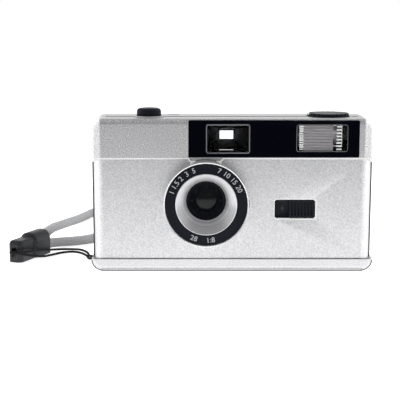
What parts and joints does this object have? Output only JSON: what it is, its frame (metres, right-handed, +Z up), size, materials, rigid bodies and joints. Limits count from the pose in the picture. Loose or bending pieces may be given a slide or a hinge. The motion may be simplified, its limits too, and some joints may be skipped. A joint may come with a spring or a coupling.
{
  "type": "film camera",
  "caption": "Compact silver 35 mm film camera with built-in flash, black-rimmed lens, rewind crank, hinged back and a grey wrist strap.",
  "frame": {"origin": "under the middle of the camera, on the surface that it stands on", "axes": "+Z up, -Y towards the lens side (the front), +X to the right seen from the front"},
  "size_m": [0.1504, 0.1359, 0.0653],
  "materials": {
    "silver_paint": "satin metallic paint on plastic",
    "silver_cone": "fine metallic paint",
    "bright_trim": "polished metallic trim",
    "black_plastic": "fine matt",
    "gloss_black": "gloss",
    "clear_plastic": "clear",
    "red_plastic": "translucent look",
    "bright_metal": "bright sheet",
    "dark_metal": "blackened",
    "spring_steel": "plain",
    "green_board": "satin",
    "sleeve": "shrink sleeve",
    "battery_can": "printed can",
    "white_plastic": "satin",
    "grey_plastic": "satin",
    "grey_cord": "fine braid",
    "black_string": "braid"
  },
  "bodies": {
    "camera": {"top_cover": "silver_paint", "rear_shell": "silver_paint", "front_panel": "silver_paint", "bottom_cover": "silver_paint", "window_panel": "gloss_black", "finder_window": "clear_plastic", "finder_tunnel": "black_plastic", "finder_objective": "clear_plastic", "finder_eyepiece": "clear_plastic", "eyepiece_bezel": "black_plastic", "flash_window": "clear_plastic", "flash_reflector": "bright_metal", "flash_tube": "clear_plastic", "ready_lamp": "red_plastic", "flash_board": "green_board", "flash_capacitor": "sleeve", "lens_ring": "bright_trim", "scale_ring": "gloss_black", "lens_cone": "silver_cone", "lens_barrel": "black_plastic", "front_lens": "clear_plastic", "aperture_plate": "black_plastic", "rear_lens": "clear_plastic", "shutter_plate": "dark_metal", "button_collar": "silver_paint", "button_spring": "spring_steel", "film_chassis": "black_plastic", "light_box": "black_plastic", "counter_window": "clear_plastic", "rewind_seat": "black_plastic", "hinge_pin": "spring_steel", "battery": "battery_can", "battery_contact": "spring_steel", "case_screws": "dark_metal", "strap_lug": "spring_steel", "string_upper": "black_string", "string_lower": "black_string", "strap_tip": "grey_plastic", "cord_slider": "grey_plastic", "strap_cord": "grey_cord"},
    "shutter_press": {"shutter_button": "gloss_black", "release_lever": "dark_metal"},
    "blade": {"shutter_blade": "dark_metal"},
    "switch": {"flash_switch": "gloss_black"},
    "rewind_lift": {"rewind_clip": "spring_steel"},
    "rewind_spin": {"rewind_shaft": "black_plastic", "rewind_knob": "silver_paint"},
    "crank": {"crank_lever": "gloss_black"},
    "advance": {"advance_wheel": "black_plastic", "take_up_spool": "black_plastic"},
    "sprocket_turn": {"sprocket": "black_plastic"},
    "counter": {"counter_dial": "white_plastic"},
    "door": {"back_door": "black_plastic", "pressure_plate": "dark_metal", "pressure_spring": "spring_steel", "film_window": "clear_plastic"},
    "latch": {"door_latch": "black_plastic"},
    "cell_door": {"battery_door": "silver_paint", "battery_spring": "spring_steel"},
    "release_press": {"rewind_release": "black_plastic"}
  },
  "joints": [
    {"name": "shutter_press", "type": "slide", "parent": "camera", "child": "shutter_press", "axis": [0, 0, -1], "range_m": [0, 0.0018], "stiffness_N_per_m": 400, "deforming": ["button_spring"]},
    {"name": "blade_swing", "type": "hinge", "parent": "camera", "child": "blade", "pos_m": [-0.02245, 0.00018, 0.0284], "axis": [0, -1, 0], "range_deg": [0, 36]},
    {"name": "flash_switch", "type": "slide", "parent": "camera", "child": "switch", "axis": [-1, 0, 0], "range_m": [0, 0.0056]},
    {"name": "rewind_lift", "type": "slide", "parent": "camera", "child": "rewind_lift", "axis": [0, 0, 1], "range_m": [0, 0.005]},
    {"name": "rewind_turn", "type": "hinge", "parent": "rewind_lift", "child": "rewind_spin", "pos_m": [0.03965, 0.00435, 0.0617], "axis": [0, 0, 1], "continuous": true},
    {"name": "crank_fold", "type": "hinge", "parent": "rewind_spin", "child": "crank", "pos_m": [0.0327, 0.00435, 0.0626], "axis": [0, -1, 0], "range_deg": [0, 150]},
    {"name": "advance_turn", "type": "hinge", "parent": "camera", "child": "advance", "pos_m": [-0.046, 0.0086, 0.0534], "axis": [0, 0, 1], "continuous": true},
    {"name": "sprocket_turn", "type": "hinge", "parent": "camera", "child": "sprocket_turn", "pos_m": [-0.0326, 0.00855, 0.0284], "axis": [0, 0, 1], "continuous": true},
    {"name": "counter_turn", "type": "hinge", "parent": "camera", "child": "counter", "pos_m": [-0.024, 0.00855, 0.0595], "axis": [0, 0, 1], "continuous": true},
    {"name": "door_hinge", "type": "hinge", "parent": "camera", "child": "door", "pos_m": [-0.055, 0.0163, 0.0284], "axis": [0, 0, 1], "range_deg": [0, 85]},
    {"name": "latch_slide", "type": "slide", "parent": "camera", "child": "latch", "axis": [0, 0, -1], "range_m": [0, 0.003], "stiffness_N_per_m": 100},
    {"name": "cell_door_hinge", "type": "hinge", "parent": "camera", "child": "cell_door", "pos_m": [0.017, -0.00565, 0.00065], "axis": [-1, 0, 0], "range_deg": [0, 100]},
    {"name": "release_press", "type": "slide", "parent": "camera", "child": "release_press", "axis": [0, 0, 1], "range_m": [0, 0.001], "stiffness_N_per_m": 200}
  ],
  "couplings": [
    {"joint": "blade_swing", "follows": "shutter_press", "rad_per_m": 349},
    {"joint": "counter_turn", "follows": "sprocket_turn", "ratio": -0.0263}
  ]
}
